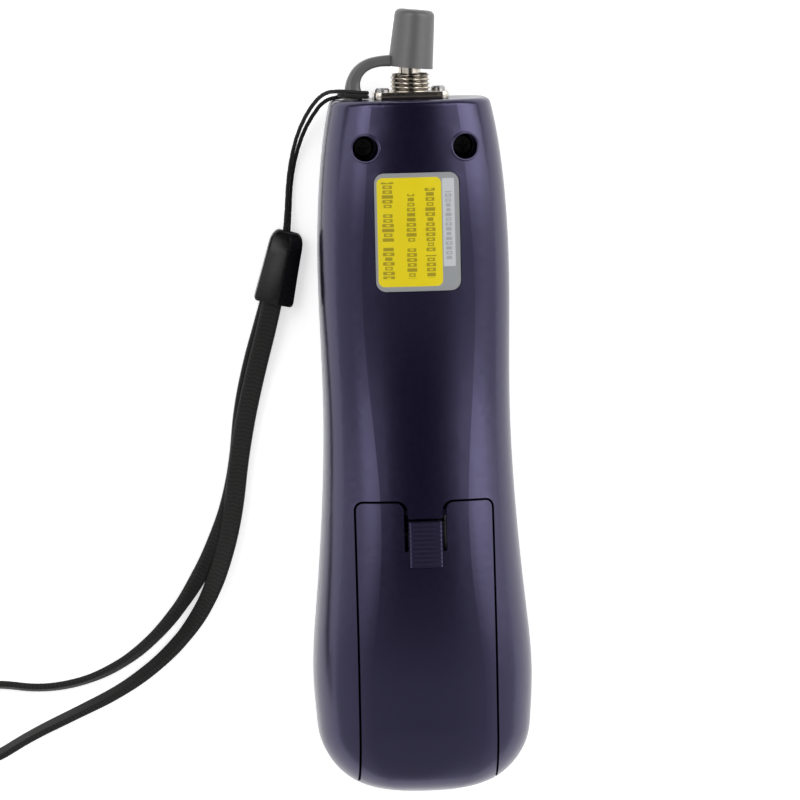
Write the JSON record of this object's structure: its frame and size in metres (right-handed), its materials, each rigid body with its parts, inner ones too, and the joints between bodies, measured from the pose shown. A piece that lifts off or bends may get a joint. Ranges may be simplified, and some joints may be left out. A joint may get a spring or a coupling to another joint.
{
  "type": "optical power meter",
  "caption": "Handheld optical power meter with a threaded fibre port, tethered dust cap, keys, display, battery door and wrist strap, lying face down.",
  "frame": {"origin": "on the front's resting face, on the plane of symmetry, half way along the housing", "axes": "+Z from the front to the back, +Y along the housing towards the fibre port, +X to the right when the back is looked at with the port up"},
  "size_m": [0.1218, 0.157, 0.0247],
  "materials": {
    "housing": "satin moulded plastic, dark indigo, lightly grained",
    "label": "printed film label, yellow and grey fields",
    "window": "clear polished window",
    "lcd_glass": "grey-green display glass",
    "inner_frame": "moulded black plastic",
    "zebra_rubber": "striped contact rubber",
    "diffuser": "white light guide",
    "switch_body": "small switch bodies",
    "key_rubber": "grey silicone keys",
    "board": "green solder mask over glass laminate",
    "chip": "black moulded package",
    "tinned_steel": "tinned sheet steel",
    "screw_steel": "dark plated steel",
    "cell_wrap": "plain wrapped cell",
    "contact_steel": "nickel plated spring steel",
    "port_metal": "nickel plated, turned",
    "zirconia": "white ground ceramic",
    "holder_metal": "machined",
    "diode_can": "gold plated can",
    "cap_rubber": "grey moulded rubber, matte",
    "cord": "black braided cord",
    "webbing": "charcoal woven tape",
    "clasp": "charcoal moulded plastic"
  },
  "bodies": {
    "root": {"front_shell": "housing", "rear_shell": "housing", "rating_label": "label", "display_window": "window", "lcd_panel": "lcd_glass", "lcd_holder": "inner_frame", "zebra_strips": "zebra_rubber", "backlight": "diffuser", "key_switches": "switch_body", "circuit_board": "board", "main_chip": "chip", "amplifier_chip": "chip", "shield_can": "tinned_steel", "board_screws": "screw_steel", "case_screws": "screw_steel", "bay_screws": "screw_steel", "port_screws": "screw_steel", "right_cell": "cell_wrap", "left_cell": "cell_wrap", "bridge_contact": "contact_steel", "end_contacts": "contact_steel", "contact_springs": "contact_steel", "fc_receptacle": "port_metal", "ferrule_sleeve": "zirconia", "detector_holder": "holder_metal", "photodiode": "diode_can", "cap_tether": "cap_rubber", "lanyard_cord": "cord", "wrist_webbing": "webbing", "strap_clasp": "clasp"},
    "battery_door": {"battery_door": "housing"},
    "dust_cap": {"dust_cap": "cap_rubber"},
    "power_key": {"power_key": "key_rubber"},
    "light_key": {"light_key": "key_rubber"},
    "wavelength_key": {"wavelength_key": "key_rubber"},
    "unit_key": {"unit_key": "key_rubber"},
    "reference_key": {"reference_key": "key_rubber"},
    "store_key": {"store_key": "key_rubber"}
  },
  "joints": [
    {"name": "battery_door_hinge", "type": "hinge", "parent": "root", "child": "battery_door", "pos_m": [0, -0.0693, 0.0108], "axis": [1, 0, 0], "range_deg": [0, 75]},
    {"name": "dust_cap_pull", "type": "slide", "parent": "root", "child": "dust_cap", "axis": [0, 1, 0], "range_m": [0, 0.008], "deforming": ["cap_tether"]},
    {"name": "power_key_press", "type": "slide", "parent": "root", "child": "power_key", "axis": [0, 0, 1], "range_m": [0, 0.00035], "stiffness_N_per_m": 200, "springref_m": -0.0005},
    {"name": "light_key_press", "type": "slide", "parent": "root", "child": "light_key", "axis": [0, 0, 1], "range_m": [0, 0.00035], "stiffness_N_per_m": 200, "springref_m": -0.0005},
    {"name": "wavelength_key_press", "type": "slide", "parent": "root", "child": "wavelength_key", "axis": [0, 0, 1], "range_m": [0, 0.00035], "stiffness_N_per_m": 200, "springref_m": -0.0005},
    {"name": "unit_key_press", "type": "slide", "parent": "root", "child": "unit_key", "axis": [0, 0, 1], "range_m": [0, 0.00035], "stiffness_N_per_m": 200, "springref_m": -0.0005},
    {"name": "reference_key_press", "type": "slide", "parent": "root", "child": "reference_key", "axis": [0, 0, 1], "range_m": [0, 0.00035], "stiffness_N_per_m": 200, "springref_m": -0.0005},
    {"name": "store_key_press", "type": "slide", "parent": "root", "child": "store_key", "axis": [0, 0, 1], "range_m": [0, 0.00035], "stiffness_N_per_m": 200, "springref_m": -0.0005}
  ]
}
